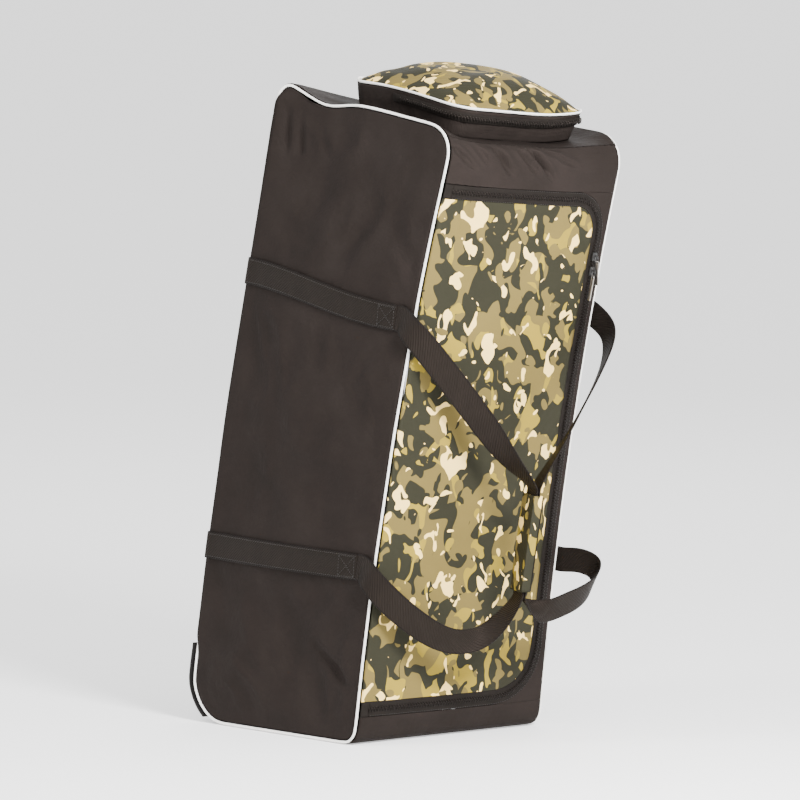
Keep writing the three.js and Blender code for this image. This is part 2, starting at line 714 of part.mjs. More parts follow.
function pocketLid() {
  const inset = clothWall / 2 + pocketPipingRadius + pipingGap;
  const [farX, farY] = [pocketWidth / 2 - inset, pocketDepth / 2 - inset];
  const radius = pocketCorner - inset;
  const rows = closingSteps(lidSteps, -farY, farY).map((y) => {
    const turned = Math.max(Math.abs(y) - (farY - radius), 0);
    const edge = farX - radius + Math.sqrt(Math.max(radius * radius - turned * turned, 0));
    return closingSteps(lidSteps, -edge, edge).map((x) => ({ x, y, edge }));
  });
  const rise = (x, y, edge) => pocketDome
    * ((1 - Math.abs(x / edge) ** domeFlatness) * (1 - Math.abs(y / farY) ** domeFlatness))
    ** domeFullness;
  return wall(rows, ({ x, y, edge }, face) => {
    const z = pocketRim + rise(x, y, edge) + (face === 'inner' ? -clothWall / 2 : clothWall / 2);
    return bend(pocketSideShift + x, pocketMiddleY + y, z);
  });
}

// Skid guard over the lower back corner, just outside the back panel
function skidGuard() {
  const cornerStop = edgeSteps + backSteps.lowCorner;
  const round = stopsBetween(cornerStop - guardCornerSteps, cornerStop);
  const rise = range(3, backCornerEnd, backCornerEnd + guardHeight - baseBackRadius).slice(1);
  return skinPanel([...round.slice(0, -1), backCornerEnd, ...rise], columns.guard,
    pipingGap + guardWall, guardWall);
}

// A solid for joining, made from a closed geometry
function solid(geometry) {
  const bare = new THREE.BufferGeometry();
  bare.setAttribute('position', geometry.getAttribute('position'));
  bare.setIndex(geometry.getIndex());
  const merged = mergeVertices(bare, 1e-4);
  return new wasm.Manifold(new wasm.Mesh({
    numProp: 3,
    vertProperties: new Float32Array(merged.getAttribute('position').array),
    triVerts: new Uint32Array(merged.getIndex().array),
  }));
}

function joined(first, second) {
  const mesh = solid(first).add(solid(second)).getMesh();
  const geometry = new THREE.BufferGeometry();
  geometry.setAttribute('position', new THREE.BufferAttribute(mesh.vertProperties, 3));
  geometry.setIndex(new THREE.BufferAttribute(mesh.triVerts, 1));
  return geometry;
}

// A flat plate in Y and Z with a round hole at its origin, centred on X
function holedPlate(outlineShape, holeRadius, thickness) {
  const hole = new THREE.Path();
  hole.absarc(0, 0, holeRadius, 0, 2 * Math.PI, true);
  outlineShape.holes.push(hole);
  const geometry = new THREE.ExtrudeGeometry(outlineShape,
    { depth: thickness, bevelEnabled: false, curveSegments: 4 });
  geometry.translate(0, 0, -thickness / 2);
  const turn = new THREE.Matrix4().makeBasis(new THREE.Vector3(0, 1, 0),
    new THREE.Vector3(0, 0, 1), new THREE.Vector3(1, 0, 0));
  return geometry.applyMatrix4(turn);
}

const eyeHeight = sliderWall + pullTabWidth / 2 + 2 * clearance;

function zipSlider() {
  const body = new THREE.BoxGeometry(sliderWidth, sliderLength, sliderWall);
  body.translate(0, 0, sliderWall / 2);
  const eye = new THREE.Shape();
  eye.moveTo(-eyeRadius, -eyeHeight + sliderWall / 2);
  eye.lineTo(eyeRadius, -eyeHeight + sliderWall / 2);
  eye.lineTo(eyeRadius, 0);
  eye.absarc(0, 0, eyeRadius, 0, Math.PI, false);
  return joined(body, holedPlate(eye, pullHoleRadius, eyeWall).translate(0, 0, eyeHeight));
}

function pullRing() {
  return new THREE.TorusGeometry(pullRingRadius, pullRingWire, 5, 12)
    .translate(0, -pullRingRadius, 0);
}

function pullTab() {
  const half = pullTabWidth / 2;
  const plate = new THREE.Shape();
  plate.absarc(0, 0, half, -Math.PI / 2, Math.PI / 2, false);
  plate.lineTo(-pullTabLength, half);
  plate.lineTo(-pullTabLength, -half);
  return holedPlate(plate, pullHoleRadius, pullTabWall);
}

const blackCloth = { color: 0x2e2b2b, roughness: 0.85, metalness: 0 };
const camouflageCloth = { color: 0x94885c, roughness: 0.85, metalness: 0 };
const blackWebbing = { color: 0x2a2828, roughness: 0.8, metalness: 0 };
const whitePiping = { color: 0xf0efec, roughness: 0.5, metalness: 0 };
const blackZip = { color: 0x1b1a1a, roughness: 0.6, metalness: 0 };
const guardCloth = { color: 0x262425, roughness: 0.55, metalness: 0 };
const blackMetal = { color: 0x1c1c1d, roughness: 0.4, metalness: 0.8 };
const paleMetal = { color: 0xb8b3b0, roughness: 0.35, metalness: 0.9 };

const bag = new THREE.Group();

function addPiece(name, geometry, finish, parent = bag) {
  const mesh = new THREE.Mesh(geometry, new THREE.MeshStandardMaterial(finish));
  mesh.name = name;
  parent.add(mesh);
  return mesh;
}

// Body
addPiece('side_panel_left', sidePanel(-1), blackCloth);
addPiece('side_panel_right', sidePanel(1), blackCloth);
addPiece('piping_left', piping(-1), whitePiping);
addPiece('piping_right', piping(1), whitePiping);
addPiece('base_panel', skinPanel(stopsBetween(baseStart, backSeam), columns.base, 0, clothWall),
  blackCloth);
addPiece('back_panel', skinPanel(stopsBetween(backSeam, topSeam), columns.back, 0, clothWall),
  blackCloth);
addPiece('top_panel', skinPanel(stopsBetween(topSeam, frontSeam), columns.top, 0, clothWall),
  blackCloth);
addPiece('skid_guard', skidGuard(), guardCloth);

// Front
addPiece('front_top_panel', frontTopPanel(), blackCloth);
addPiece('front_side_strip',
  frontPanel(rightEdge(bandEdge), columns.strip, (at) => at.x, () => clothEdge), blackCloth);
addPiece('front_base_band', frontBaseBand(), blackCloth);
addPiece('front_flap', frontPanel(rightEdge(0), columns.flap, () => -clothEdge, (at) => at.x),
  camouflageCloth);
addPiece('main_zip', mainZip(), blackZip);
addPiece('zip_end_upper', zipEnd(flapHighEdge + (zipInner + zipOuter) / 2), blackWebbing);
addPiece('zip_end_lower', zipEnd(flapLowEdge - (zipInner + zipOuter) / 2), blackWebbing);

// End pocket
addPiece('pocket_wall', pocketWall(), blackCloth);
addPiece('pocket_zip', pocketZip(), blackZip);
addPiece('pocket_lid', pocketLid(), camouflageCloth);
addPiece('pocket_piping', pocketPiping(), whitePiping);

// Straps, handles and grip
addPiece('strap_band_upper', strapBand(bandHeights.upper), blackWebbing);
addPiece('strap_band_lower', strapBand(bandHeights.lower), blackWebbing);
addPiece('handle_left', handle(-1, bandHeights.upper.leftFront, handleRuns.leftUpper,
  bandHeights.lower.leftFront, handleRuns.leftLower), blackWebbing);
addPiece('handle_right', handle(1, bandHeights.upper.rightFront, handleRuns.rightUpper,
  bandHeights.lower.rightFront, handleRuns.rightLower), blackWebbing);
addPiece('grip_wrap', gripWrap(), camouflageCloth);

// Zip sliders with their rings and tabs, on the upright stretch of the main zip. The upper
// pull hangs beside the lower one.
function addPull(place, height, ringSwing, tabSwing) {
  const x = flapRightEdge + (zipInner + zipOuter) / 2;
  const seat = front(x, height, coilHeight + clearance);
  const up = front(x, height + sliderLength / 2, coilHeight)
    .sub(front(x, height - sliderLength / 2, coilHeight)).normalize();
  const across = front(x + sliderWidth / 2, height, coilHeight)
    .sub(front(x - sliderWidth / 2, height, coilHeight)).normalize();
  const out = across.clone().cross(up).normalize();
  const holder = new THREE.Group();
  holder.position.copy(seat);
  holder.quaternion.setFromRotationMatrix(new THREE.Matrix4().makeBasis(
    up.clone().cross(out).normalize(), up, out));
  bag.add(holder);
  addPiece(`zip_slider_${place}`, zipSlider(), blackMetal, holder);
  const ringHolder = new THREE.Group();
  ringHolder.position.set(0, 0, eyeHeight);
  ringHolder.rotation.z = ringSwing;
  holder.add(ringHolder);
  addPiece(`pull_ring_${place}`, pullRing(), blackMetal, ringHolder);
  const tab = addPiece(`pull_tab_${place}`, pullTab(), paleMetal, ringHolder);
  tab.position.set(0, -2 * pullRingRadius, 0);
  tab.rotation.z = tabSwing - ringSwing;
}

addPull('upper', upperSliderHeight, upperRingSwing, upperTabSwing);
addPull('lower', lowerSliderHeight, 0, 0);

// The origin is below the middle of the bag's bounds, at floor level.
bag.updateMatrixWorld(true);
const bounds = new THREE.Box3().setFromObject(bag, true);
const middle = bounds.getCenter(new THREE.Vector3());
bag.position.set(-middle.x, -middle.y, -bounds.min.z);
bag.updateMatrixWorld(true);

export default bag;
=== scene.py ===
import math

import bmesh
import bpy
from mathutils import Matrix, Vector, kdtree, noise


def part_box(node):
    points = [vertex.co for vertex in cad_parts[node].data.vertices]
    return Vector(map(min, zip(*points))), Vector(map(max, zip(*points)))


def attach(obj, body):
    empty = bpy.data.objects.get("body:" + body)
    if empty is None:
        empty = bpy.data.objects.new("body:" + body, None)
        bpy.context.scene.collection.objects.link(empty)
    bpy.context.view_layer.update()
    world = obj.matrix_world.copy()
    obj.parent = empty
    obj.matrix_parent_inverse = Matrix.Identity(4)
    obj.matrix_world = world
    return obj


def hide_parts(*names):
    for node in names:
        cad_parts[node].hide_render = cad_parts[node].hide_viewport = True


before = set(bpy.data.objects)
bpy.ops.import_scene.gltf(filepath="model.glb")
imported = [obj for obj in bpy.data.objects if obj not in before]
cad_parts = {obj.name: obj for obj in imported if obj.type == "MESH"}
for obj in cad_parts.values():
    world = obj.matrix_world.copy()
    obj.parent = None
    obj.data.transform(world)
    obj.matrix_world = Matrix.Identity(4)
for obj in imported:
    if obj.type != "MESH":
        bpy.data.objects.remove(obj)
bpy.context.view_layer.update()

# Side panels
# Each is one piece of coated black polyester, cut with round corners and sewn to the bag
# along its white piping. It hangs slack between the straps, with soft folds near the top.


def hex_to_linear(code):
    """One sRGB hex colour as linear red, green, blue and alpha."""
    levels = [int(code[i:i + 2], 16) / 255 for i in (1, 3, 5)]
    return [c / 12.92 if c <= 0.04045 else ((c + 0.055) / 1.055) ** 2.4 for c in levels] + [1]


def add_node(tree, kind, inputs, **settings):
    """Adds a shader node with its settings, and fills or links its inputs."""
    node = tree.nodes.new("ShaderNode" + kind)
    for name, value in settings.items():
        setattr(node, name, value)
    for name, value in inputs.items():
        if isinstance(value, bpy.types.NodeSocket):
            tree.links.new(value, node.inputs[name])
        else:
            node.inputs[name].default_value = value
    return node


def start_material(name):
    """A new material with an empty node tree."""
    material = bpy.data.materials.new(name)
    material.use_nodes = True
    material.node_tree.nodes.clear()
    return material, material.node_tree


def weave_height(tree, place, spacing):
    """Height of a plain weave of threads that far apart, in metres, on any face."""
    total = 0
    for axis in "XYZ":
        threads = add_node(tree, "TexWave", {"Vector": place, "Scale": math.pi / 10 / spacing,
                           "Distortion": 0.6, "Detail": 1}, bands_direction=axis)
        total = add_node(tree, "Math", {0: threads.outputs["Fac"], 1: total}).outputs[0]
    return total


def crumple_height(tree, place):
    """Height of the small creases that coated cloth keeps, about 50 mm apart."""
    bent = add_node(tree, "TexNoise", {"Vector": place, "Scale": 9, "Detail": 3})
    pulled = add_node(tree, "VectorMath", {0: bent.outputs["Color"], 1: (0.06, 0.06, 0.06)},
                      operation="MULTIPLY_ADD")
    tree.links.new(place, pulled.inputs[2])
    return add_node(tree, "TexNoise", {"Vector": pulled.outputs[0], "Scale": 20, "Detail": 4,
                    "Roughness": 0.55}).outputs["Fac"]


# 600-denier polyester with a thin coating: nearly matt, with a soft sheen, warm black.
# Its threads are 0.6 mm apart, drawn at 2 mm because finer ones don't show in the render.
CLOTH_SHADES = ("#1c1816", "#282321")
CLOTH_THREADS = 0.002


def make_black_polyester():
    material, tree = start_material("black coated polyester")
    place = add_node(tree, "TexCoord", {}).outputs["Object"]
    patches = add_node(tree, "TexNoise", {"Vector": place, "Scale": 14, "Detail": 5})
    shade = add_node(tree, "Mix", {0: patches.outputs["Fac"], 6: hex_to_linear(CLOTH_SHADES[0]),
                     7: hex_to_linear(CLOTH_SHADES[1])}, data_type="RGBA")
    creases = add_node(tree, "Bump", {"Strength": 0.8, "Distance": 0.005,
                       "Height": crumple_height(tree, place)})
    weave = add_node(tree, "Bump", {"Strength": 0.35, "Distance": 0.0003,
                     "Height": weave_height(tree, place, CLOTH_THREADS),
                     "Normal": creases.outputs[0]})
    gloss = add_node(tree, "MapRange", {"Value": patches.outputs["Fac"], "To Min": 0.55,
                     "To Max": 0.7})
    shader = add_node(tree, "BsdfPrincipled", {"Base Color": shade.outputs[2],
                      "Roughness": gloss.outputs[0], "IOR": 1.3, "Specular IOR Level": 0.07,
                      "Specular Tint": hex_to_linear("#ffe9dc"), "Normal": weave.outputs[0]})
    add_node(tree, "OutputMaterial", {"Surface": shader.outputs[0]})
    return material


black_polyester = make_black_polyester()


def merged_copy(node):
    """The CAD node's mesh with its doubles merged, in four-sided faces with creased rims."""
    bm = bmesh.new()
    bm.from_mesh(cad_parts[node].data)
    bmesh.ops.remove_doubles(bm, verts=bm.verts, dist=0.00001)
    bmesh.ops.join_triangles(bm, faces=bm.faces[:], angle_face_threshold=0.6,
                             angle_shape_threshold=math.pi)
    crease = bm.edges.layers.float.new("crease_edge")
    for edge in bm.edges:
        edge[crease] = 1 if edge.calc_face_angle(0) > 1 else 0
    return bm


def smoothed(bm, levels):
    """The mesh after subdivision, as a new bmesh."""
    mesh = bpy.data.meshes.new("draft")
    bm.to_mesh(mesh)
    bm.free()
    draft = bpy.data.objects.new("draft", mesh)
    bpy.context.scene.collection.objects.link(draft)
    draft.modifiers.new("smooth", "SUBSURF").levels = levels
    bpy.context.view_layer.update()
    finer = bmesh.new()
    finer.from_object(draft, bpy.context.evaluated_depsgraph_get())
    bpy.data.objects.remove(draft)
    bpy.data.meshes.remove(mesh)
    return finer


def sewn_piece(bm, name, material, nodes=(), levels=0):
    """Makes the mesh a piece of the bag that stands for the given CAD nodes."""
    mesh = bpy.data.meshes.new(name)
    bm.to_mesh(mesh)
    bm.free()
    mesh.shade_smooth()
    mesh.set_sharp_from_angle(angle=0.9)
    mesh.materials.append(material)
    piece = bpy.data.objects.new(name, mesh)
    bpy.context.scene.collection.objects.link(piece)
    if levels:
        finer = piece.modifiers.new("smooth", "SUBSURF")
        finer.levels = levels
        finer.render_levels = levels
    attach(piece, "root")
    if nodes:
        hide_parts(*nodes)
    return piece


def rim_spots(node):
    """Places on the rim of a CAD panel, a few millimetres apart."""
    bm = merged_copy(node)
    spots = []
    for edge in bm.edges:
        if edge.calc_face_angle(0) > 1:
            first, second = (vert.co for vert in edge.verts)
            steps = max(1, round((second - first).length / 0.012))
            spots += [first.lerp(second, i / steps) for i in range(steps + 1)]
    bm.free()
    return spots


def settle_cloth(bm, outward, held, slack, reach, folds=(), seed=0):
    """Slack and folds of a sewn panel. It lies still where it is held by a seam or strap.

    A fold is a line from one point to another with a width and a depth, in millimetres.
    """
    grip = kdtree.KDTree(len(held))
    for i, spot in enumerate(held):
        grip.insert(spot, i)
    grip.balance()
    shift = Vector((seed * 3.1, seed * 1.7, seed * 2.3))
    for vert in bm.verts:
        free = smooth_step(grip.find(vert.co)[2] / reach)
        broad = noise.noise(vert.co * 8 + shift)
        pulled = vert.co + noise.noise_vector(vert.co * 7 + shift) * 0.05
        ridge = 1 - 2 * abs(noise.noise(pulled * 15 + shift))
        depth = slack * (0.8 * broad + 0.45 * ridge - 0.2)
        for start, end, width, fold_depth in folds:
            start, end = Vector(start) / 1000, Vector(end) / 1000
            along = end - start
            share = min(max((vert.co - start).dot(along) / along.length_squared, 0), 1)
            away = (vert.co - start - along * share).length / (width / 1000)
            ends = 0.35 + 0.65 * math.sin(math.pi * min(max(share, 0.08), 0.92))
            depth -= fold_depth / 1000 * ends * (1 - 1.1 * away * away) * math.exp(-away * away)
        vert.co += Vector(outward) * depth * free


def smooth_step(value):
    """0 below 0, 1 above 1, and an even slope between."""
    share = min(max(value, 0), 1)
    return share * share * (3 - 2 * share)


# The left panel is cut full, so that its cloth rolls back over the seam along its back edge
# and hides the piping there, except at the lowest and highest corner
seam_spots = []
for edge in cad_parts["piping_left"].data.edges:
    ends = [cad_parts["piping_left"].data.vertices[i].co for i in edge.vertices]
    if min(ends[0].y, ends[1].y) > 0.1:
        seam_spots += [ends[0].lerp(ends[1], step / 8) for step in range(9)]
back_seam = kdtree.KDTree(len(seam_spots))
for i, spot in enumerate(seam_spots):
    back_seam.insert(spot, i)
back_seam.balance()
ROLL_WIDTH = 0.03
ROLL_HEAD = 0.912
ROLL_FOOT = 0.09


def roll_back(bm, shift, foot=ROLL_FOOT, head=ROLL_HEAD):
    """Shifts what lies near the left panel's back seam, between two heights."""
    for vert in bm.verts:
        near = smooth_step(1 - back_seam.find(vert.co)[2] / ROLL_WIDTH)
        ends = smooth_step((vert.co.z - foot) / 0.04) * smooth_step((head - vert.co.z) / 0.02)
        vert.co += Vector(shift) * near * ends


STRAP_NODES = ("strap_band_upper", "strap_band_lower")
strap_spots = [spot for node in STRAP_NODES for spot in rim_spots(node)]
# Folds of the left panel as it stands in the photograph, and plainer ones on the right
LEFT_FOLDS = [
    ((-112, 136, 897), (-118, 134, 828), 10, 13),
    ((-110, 166, 886), (-118, 164, 826), 9, 10),
    ((-114, 100, 880), (-124, 70, 820), 14, 6),
    ((-108, 40, 860), (-150, 120, 700), 34, 5),
    ((-150, -86, 556), (-162, -24, 482), 15, 7),
    ((-158, -60, 470), (-175, 100, 400), 36, 6),
    ((-130, -70, 745), (-150, 40, 690), 24, 4),
    ((-185, -75, 245), (-200, 60, 150), 26, 6),
    ((-205, -6, 134), (-208, -90, 80), 12, 9),
    ((-190, 40, 250), (-200, 160, 200), 24, 5),
]
RIGHT_FOLDS = [
    ((200, 130, 800), (190, 80, 700), 20, 5),
    ((190, -60, 560), (170, 90, 460), 28, 4),
    ((160, -60, 230), (140, 80, 120), 26, 4),
    ((220, -100, 800), (210, 20, 740), 18, 4),
]
for side, outward, folds, seed in (("left", (-1, 0, 0), LEFT_FOLDS, 1),
                                   ("right", (1, 0, 0), RIGHT_FOLDS, 2)):
    panel = smoothed(merged_copy("side_panel_" + side), 3)
    held = rim_spots("side_panel_" + side) + strap_spots
    settle_cloth(panel, outward, held, 0.009, 0.04, folds, seed)
    if side == "left":
        roll_back(panel, (-0.003, 0.006, 0))
    sewn_piece(panel, "side_cloth_" + side, black_polyester,
               ["side_panel_" + side])

# Base, back, top and front panels
# One band of the same black polyester runs all round between the two side panels. It is
# sewn from lengths that meet in plain seams at the corners.
PANELS = [
    ("base_panel", (0, 0, -1), 0.0, ()),
    ("back_panel", (0, 1, 0), 0.005, [
        ((-90, 200, 560), (110, 205, 480), 30, 4),
        ((-60, 190, 780), (60, 200, 720), 24, 4),
        ((-130, 235, 300), (20, 240, 240), 26, 4),
    ]),
    ("top_panel", (0, 0, 1), 0.004, [((-105, 60, 900), (-30, 100, 890), 22, 5)]),
    ("front_top_panel", (0, -0.8, 0.6), 0.005, [
        ((-97, -196, 852), (-52, -211, 800), 7, 22),
        ((-68, -188, 872), (-38, -207, 818), 7, 18),
        ((14, -191, 858), (60, -211, 786), 7, 22),
        ((34, -193, 848), (92, -211, 778), 7, 22),
        ((60, -194, 846), (156, -211, 798), 7, 20),
        ((-30, -190, 862), (4, -209, 806), 9, 14),
    ]),
    ("front_side_strip", (0, -1, 0), 0.001, ()),
    ("front_base_band", (0, -1, 0), 0.001, ()),
]
for seed, (node, outward, slack, folds) in enumerate(PANELS):
    fine = 1 if node == "front_top_panel" else 0
    panel = smoothed(merged_copy(node), 2 + fine)
    settle_cloth(panel, outward, rim_spots(node) + strap_spots, slack, 0.022 - 0.008 * fine,
                 folds, seed + 4)
    sewn_piece(panel, node.replace("panel", "cloth"), black_polyester, [node],
               1 - fine)

# Skid guard
# A thicker patch of black coated cloth over the lower back corner takes the wear where
# the bag is set down and dragged.


def make_guard_cloth():
    # PVC-coated polyester: smooth and a little shiny, with a fine pebbled grain of 1.5 mm.
    material, tree = start_material("black coated guard cloth")
    place = add_node(tree, "TexCoord", {}).outputs["Object"]
    grain = add_node(tree, "TexVoronoi", {"Vector": place, "Scale": 1 / 0.0015})
    scuffs = add_node(tree, "TexNoise", {"Vector": place, "Scale": 30, "Detail": 6})
    shade = add_node(tree, "Mix", {0: scuffs.outputs["Fac"], 6: hex_to_linear("#110f0e"),
                     7: hex_to_linear("#1b1817")}, data_type="RGBA")
    bumps = add_node(tree, "Bump", {"Strength": 0.4, "Distance": 0.0003,
                     "Height": grain.outputs["Distance"]})
    gloss = add_node(tree, "MapRange", {"Value": scuffs.outputs["Fac"], "To Min": 0.32,
                     "To Max": 0.55})
    shader = add_node(tree, "BsdfPrincipled", {"Base Color": shade.outputs[2],
                      "Roughness": gloss.outputs[0], "Specular IOR Level": 0.12,
                      "Normal": bumps.outputs[0]})
    add_node(tree, "OutputMaterial", {"Surface": shader.outputs[0]})
    return material


guard_cloth = make_guard_cloth()
guard = smoothed(merged_copy("skid_guard"), 2)
roll_back(guard, (-0.005, 0.006, 0), -0.1, 0.2)
sewn_piece(guard, "skid_guard_cloth", guard_cloth, ["skid_guard"], 1)

# Piping
# White piping is sewn into both side seams all the way round: a cord in a folded strip of
# smooth coated tape.


def make_white_piping():
    # Soft vinyl tape over a cord: bright white, satin, with slight soiling.
    material, tree = start_material("white vinyl piping")
    place = add_node(tree, "TexCoord", {}).outputs["Object"]
    soiling = add_node(tree, "TexNoise", {"Vector": place, "Scale": 60, "Detail": 5})
    shade = add_node(tree, "Mix", {0: soiling.outputs["Fac"], 6: hex_to_linear("#f4f2ee"),
                     7: hex_to_linear("#e6e3dd")}, data_type="RGBA")
    ripple = add_node(tree, "Bump", {"Strength": 0.2, "Distance": 0.0005,
                      "Height": soiling.outputs["Fac"]})
    shader = add_node(tree, "BsdfPrincipled", {"Base Color": shade.outputs[2],
                      "Roughness": 0.42, "Normal": ripple.outputs[0]})
    add_node(tree, "OutputMaterial", {"Surface": shader.outputs[0]})
    return material


white_piping = make_white_piping()


def round_piping(node, swell):
    """A smooth round cord from the CAD piping, which has few sides and would shrink."""
    bm = merged_copy(node)
    bm.normal_update()
    for vert in bm.verts:
        vert.co += vert.normal * swell
    for edge in bm.edges:
        edge[bm.edges.layers.float["crease_edge"]] = 0
    return smoothed(bm, 2)


for side in ("left", "right"):
    cord = round_piping("piping_" + side, -0.0005)
    if side == "left":
        roll_back(cord, (0.0025, 0.003, 0))
    sewn_piece(cord, "side_piping_" + side, white_piping, ["piping_" + side])

# Front flap
# The flap is the bag's door: camouflage polyester, sewn in along the left piping and zipped
# round its other three sides. The print is a common one in four colours, with patches 20 to
# 45 mm across.
CAMOUFLAGE = {"ground": "#26251a", "tan": "#6a5c31", "straw": "#8e7a2b", "cream": "#fbd781"}


def make_camouflage(name):
    material, tree = start_material(name)
    place = add_node(tree, "TexCoord", {}).outputs["Object"]
    colour = hex_to_linear(CAMOUFLAGE["ground"])
    layers = [
        ("tan", (0, 0, 0), 24, 0.7, 0.49), ("straw", (4, 1, 2), 30, 0.9, 0.6),
        ("ground", (2, 7, 5), 32, 0.8, 0.545), ("cream", (9, 3, 8), 38, 1.0, 0.66),
        ("cream", (3, 12, 6), 54, 0.8, 0.7), ("tan", (6, 2, 11), 40, 0.6, 0.65),
    ]
    for shade, offset, scale, wander, threshold in layers:
        moved = add_node(tree, "Mapping", {"Vector": place, "Location": offset,
                         "Scale": (1, 1, 0.82)})
        patches = add_node(tree, "TexNoise", {"Vector": moved.outputs[0], "Scale": scale,
                           "Detail": 0.6, "Roughness": 0.4, "Distortion": wander})
        edge = add_node(tree, "MapRange", {"Value": patches.outputs["Fac"],
                        "From Min": threshold - 0.003, "From Max": threshold + 0.003})
        colour = add_node(tree, "Mix", {0: edge.outputs[0], 6: colour,
                          7: hex_to_linear(CAMOUFLAGE[shade])}, data_type="RGBA").outputs[2]
    fading = add_node(tree, "TexNoise", {"Vector": place, "Scale": 10, "Detail": 4})
    faded = add_node(tree, "MapRange", {"Value": fading.outputs["Fac"], "To Min": 0.86,
                     "To Max": 1.1})
    colour = add_node(tree, "VectorMath", {0: colour, "Scale": faded.outputs[0]},
                      operation="SCALE").outputs[0]
    creases = add_node(tree, "Bump", {"Strength": 0.45, "Distance": 0.003,
                       "Height": crumple_height(tree, place)})
    weave = add_node(tree, "Bump", {"Strength": 0.3, "Distance": 0.0003,
                     "Height": weave_height(tree, place, CLOTH_THREADS),
                     "Normal": creases.outputs[0]})
    shader = add_node(tree, "BsdfPrincipled", {"Base Color": colour, "Roughness": 0.65, "IOR": 1.3,
                      "Specular IOR Level": 0.25,
                      "Normal": weave.outputs[0]})
    add_node(tree, "OutputMaterial", {"Surface": shader.outputs[0]})
    return material


camouflage = make_camouflage("camouflage printed polyester")
FLAP_FOLDS = [
    ((-120, -180, 640), (-20, -200, 560), 16, 3),
    ((-150, -170, 560), (-60, -185, 500), 14, 2.5),
    ((40, -200, 620), (120, -190, 700), 14, 2.5),
    ((-160, -150, 330), (-60, -165, 300), 14, 2.5),
    ((-190, -130, 140), (-90, -140, 180), 15, 2.5),
    ((20, -150, 120), (90, -150, 170), 14, 2.5),
]
flap = smoothed(merged_copy("front_flap"), 2)
settle_cloth(flap, (0, -1, 0), rim_spots("front_flap"), 0.0045, 0.035, FLAP_FOLDS, 11)
sewn_piece(flap, "flap_cloth", camouflage, ["front_flap"], 1)

# Main zip
# A coil zip of 6 mm teeth on black tape, which runs along the flap's top, down its right
# side and back along its foot, with a short stop of webbing at each end.


def make_zip_tape():
    # Woven polyester tape: black, matt, with ribs 1 mm apart.
    material, tree = start_material("black zip tape")
    place = add_node(tree, "TexCoord", {}).outputs["Object"]
    shade = add_node(tree, "TexNoise", {"Vector": place, "Scale": 80, "Detail": 3})
    colour = add_node(tree, "Mix", {0: shade.outputs["Fac"], 6: hex_to_linear("#100f0e"),
                      7: hex_to_linear("#1c1917")}, data_type="RGBA")
    ribs = add_node(tree, "Bump", {"Strength": 0.4, "Distance": 0.0003,
                    "Height": weave_height(tree, place, 0.0012)})
    shader = add_node(tree, "BsdfPrincipled", {"Base Color": colour.outputs[2],
                      "Roughness": 0.75, "IOR": 1.3, "Specular IOR Level": 0.25,
                      "Specular Tint": hex_to_linear("#ffe9dc"),
                      "Normal": ribs.outputs[0]})
    add_node(tree, "OutputMaterial", {"Surface": shader.outputs[0]})
    return material


def make_coil_plastic():
    # Moulded polyester coil: black and smooth, so that each tooth catches a small light.
    material, tree = start_material("black zip coil")
    place = add_node(tree, "TexCoord", {}).outputs["Object"]
    wear = add_node(tree, "TexNoise", {"Vector": place, "Scale": 200, "Detail": 2})
    gloss = add_node(tree, "MapRange", {"Value": wear.outputs["Fac"], "To Min": 0.25,
                     "To Max": 0.45})
    shader = add_node(tree, "BsdfPrincipled", {"Base Color": hex_to_linear("#0d0b0a"),
                      "Roughness": gloss.outputs[0], "Specular IOR Level": 0.15,
                      "Specular Tint": hex_to_linear("#ffe9dc")})
    add_node(tree, "OutputMaterial", {"Surface": shader.outputs[0]})
    return material


zip_tape = make_zip_tape()
zip_coil = make_coil_plastic()


def rings_from(node, near):
    """The rings of a lofted CAD strip in order, starting from the end that near picks."""
    bm = bmesh.new()
    bm.from_mesh(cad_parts[node].data)
    bmesh.ops.remove_doubles(bm, verts=bm.verts, dist=0.00001)
    ring = [vert for vert in bm.verts if near(vert.co)]
    seen = set(ring)
    rings = []
    while ring:
        rings.append([vert.co.copy() for vert in ring])
        ring = [other for vert in ring for edge in vert.link_edges
                for other in [edge.other_vert(vert)] if other not in seen]
        ring = list(dict.fromkeys(ring))
        seen.update(ring)
    bm.free()
    return rings


def even_steps(points, spacing):
    """Points at an even spacing along a line, each with its direction."""
    steps = []
    travelled = 0
    due = spacing / 2
    for first, second in zip(points, points[1:]):
        length = (second - first).length
        while due < travelled + length:
            share = (due - travelled) / length
            steps.append((first.lerp(second, share), (second - first).normalized()))
            due += spacing
        travelled += length
    return steps


def coil_teeth(bm, rings, facing, pitch):
    """Two rows of small round-edged teeth that lock along the middle of a zip."""
    middle = []
    for ring in rings:
        centre = sum(ring, Vector()) / len(ring)
        outward = facing(centre)
        top = max(ring, key=lambda spot: spot.dot(outward))
        middle.append(centre + outward * (top - centre).dot(outward))
    for i, (place, along) in enumerate(even_steps(middle, pitch)):
        across = along.cross(facing(place)).normalized()
        out = across.cross(along).normalized()
        turn = Matrix((across, along, out)).transposed().to_4x4()
        side = 1 if i % 2 else -1
        spot = Matrix.Translation(place + across * side * 0.0011) @ turn
        size = Matrix.Diagonal((0.0046, pitch * 0.82, 0.0018, 1))
        made = bmesh.ops.create_cube(bm, size=1, matrix=spot @ size)
        edges = list({edge for vert in made["verts"] for edge in vert.link_edges})
        bmesh.ops.bevel(bm, geom=edges, offset=0.0004, segments=1, profile=0.5,
                        affect="EDGES", material=-1)


def stitch_row(bm, points, outward, length=0.003, gap=0.0012):
    """A row of sewn stitches, each a small sunk bead of thread."""
    for place, along in even_steps(points, length + gap):
        across = along.cross(outward).normalized()
        out = across.cross(along).normalized()
        turn = Matrix((along, across, out)).transposed().to_4x4()
        size = Matrix.Diagonal((length / 2, 0.00045, 0.0004, 1))
        bmesh.ops.create_icosphere(bm, subdivisions=1, radius=1,
                                   matrix=Matrix.Translation(place) @ turn @ size)


